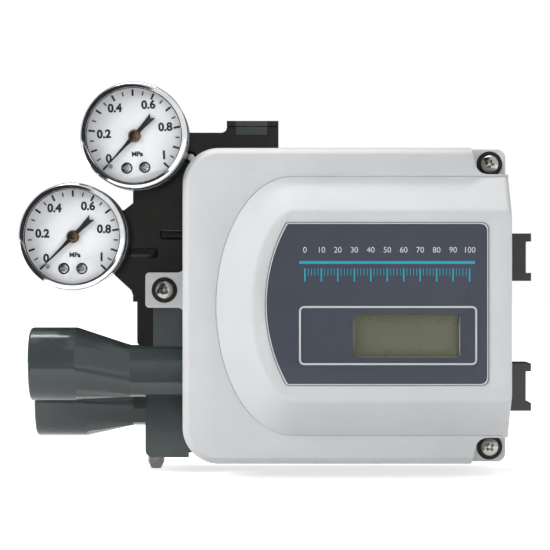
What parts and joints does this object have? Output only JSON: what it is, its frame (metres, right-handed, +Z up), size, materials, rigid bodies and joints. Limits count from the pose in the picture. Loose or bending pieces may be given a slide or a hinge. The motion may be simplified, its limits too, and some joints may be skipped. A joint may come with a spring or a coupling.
{
  "type": "valve positioner",
  "caption": "Electro-pneumatic valve positioner with a domed display cover, a pneumatic block with pressure gauges, conduit entries, mounting ears and a rear feedback lever.",
  "frame": {"origin": "centre of the raised machined pad on the back, on its mounting face", "axes": "+X to the viewer's right, +Y to the back, out of the mounting face, +Z up"},
  "size_m": [0.2103, 0.1122, 0.1585],
  "materials": {
    "slate_casting": "semi-matt slate grey paint on die-cast aluminium",
    "black_casting": "semi-matt black paint on die-cast aluminium",
    "grey_cover": "light grey paint on die-cast aluminium",
    "panel_film": "dark blue-grey printed film",
    "clear_lens": "clear window",
    "lcd": "olive green liquid crystal display",
    "chrome": "bright chrome plating",
    "steel": "bare stainless or plated steel",
    "brass": "turned brass",
    "bronze": "sintered bronze",
    "copper": "enamelled copper winding",
    "white_dial": "white printed dial",
    "black_plastic": "matt black plastic",
    "rubber": "black rubber",
    "board": "green solder mask",
    "nylon": "off-white nylon"
  },
  "bodies": {
    "base": {"main_housing": "slate_casting", "pneumatic_block": "black_casting", "pilot_cover": "black_casting", "output_gauge_lens": "clear_lens", "supply_gauge_lens": "clear_lens", "lcd_module": "lcd", "output_gauge_bezel": "chrome", "supply_gauge_bezel": "chrome", "output_gauge_case": "chrome", "supply_gauge_case": "chrome", "block_screw_1": "steel", "block_screw_2": "steel", "pilot_cover_screw_1": "steel", "pilot_cover_screw_2": "steel", "conduit_plug": "steel", "sensor_bracket": "steel", "motor_yoke": "steel", "earth_screw_outside": "steel", "terminal_screw_1": "steel", "terminal_screw_2": "steel", "terminal_screw_3": "steel", "terminal_screw_4": "steel", "pilot_spring": "steel", "nozzle": "brass", "restrictor_plug": "brass", "earth_screw_inside": "brass", "output_gauge_movement": "brass", "supply_gauge_movement": "brass", "shaft_bush": "bronze", "exhaust_silencer": "bronze", "motor_coil": "copper", "output_gauge_dial": "white_dial", "supply_gauge_dial": "white_dial", "angle_sensor": "black_plastic", "motor_magnet": "black_plastic", "controller_case": "black_plastic", "block_gasket": "rubber", "circuit_board": "board", "terminal_block": "nylon"},
    "cover": {"front_cover": "grey_cover", "window_lens": "clear_lens", "name_panel": "panel_film", "cover_gasket": "rubber", "cover_screw_top": "steel", "cover_screw_bottom": "steel", "cover_screw_left": "steel"},
    "feedback": {"feedback_shaft": "steel", "drive_gear": "brass", "feedback_lever": "steel", "lever_washer": "steel", "lever_nut": "steel"},
    "sensor_rotor": {"sensor_pinion": "brass"},
    "output_needle": {"output_gauge_pointer": "black_plastic"},
    "supply_needle": {"supply_gauge_pointer": "black_plastic"},
    "up_key": {"up_button": "nylon"},
    "down_key": {"down_button": "nylon"},
    "enter_key": {"enter_button": "nylon"},
    "flapper_arm": {"flapper": "steel"},
    "poppet": {"pilot_poppet": "brass"},
    "mode_screw": {"manual_screw": "steel"}
  },
  "joints": [
    {"name": "cover_lift", "type": "slide", "parent": "base", "child": "cover", "axis": [0, -1, 0], "range_m": [0, 0.07]},
    {"name": "feedback_turn", "type": "hinge", "parent": "base", "child": "feedback", "pos_m": [0, 0, -0.022], "axis": [0, 1, 0], "range_deg": [-50, 50]},
    {"name": "sensor_turn", "type": "hinge", "parent": "base", "child": "sensor_rotor", "pos_m": [0, -0.018, 0.0004], "axis": [0, 1, 0], "range_deg": [-130, 130]},
    {"name": "output_needle_turn", "type": "hinge", "parent": "base", "child": "output_needle", "pos_m": [-0.0846, -0.081, 0.0682], "axis": [0, 1, 0], "range_deg": [0, 270], "stiffness_Nm_per_rad": 0.0005},
    {"name": "supply_needle_turn", "type": "hinge", "parent": "base", "child": "supply_needle", "pos_m": [-0.1093, -0.081, 0.0278], "axis": [0, 1, 0], "range_deg": [0, 270], "stiffness_Nm_per_rad": 0.0005},
    {"name": "up_press", "type": "slide", "parent": "base", "child": "up_key", "axis": [0, 1, 0], "range_m": [0, 0.0008], "stiffness_N_per_m": 300},
    {"name": "down_press", "type": "slide", "parent": "base", "child": "down_key", "axis": [0, 1, 0], "range_m": [0, 0.0008], "stiffness_N_per_m": 300},
    {"name": "enter_press", "type": "slide", "parent": "base", "child": "enter_key", "axis": [0, 1, 0], "range_m": [0, 0.0008], "stiffness_N_per_m": 300},
    {"name": "flapper_tilt", "type": "hinge", "parent": "base", "child": "flapper_arm", "pos_m": [-0.0461, -0.031, -0.0092], "axis": [0, 1, 0], "range_deg": [-0.8, 0.8], "stiffness_Nm_per_rad": 0.2},
    {"name": "pilot_lift", "type": "slide", "parent": "base", "child": "poppet", "axis": [0, 0, 1], "range_m": [0, 0.0012], "stiffness_N_per_m": 500, "deforming": ["pilot_spring"]},
    {"name": "mode_turn", "type": "hinge", "parent": "base", "child": "mode_screw", "pos_m": [-0.0873, -0.028, 0.049], "axis": [1, 0, 0], "range_deg": [0, 180]}
  ],
  "couplings": [
    {"joint": "sensor_turn", "follows": "feedback_turn", "ratio": -2.5}
  ]
}
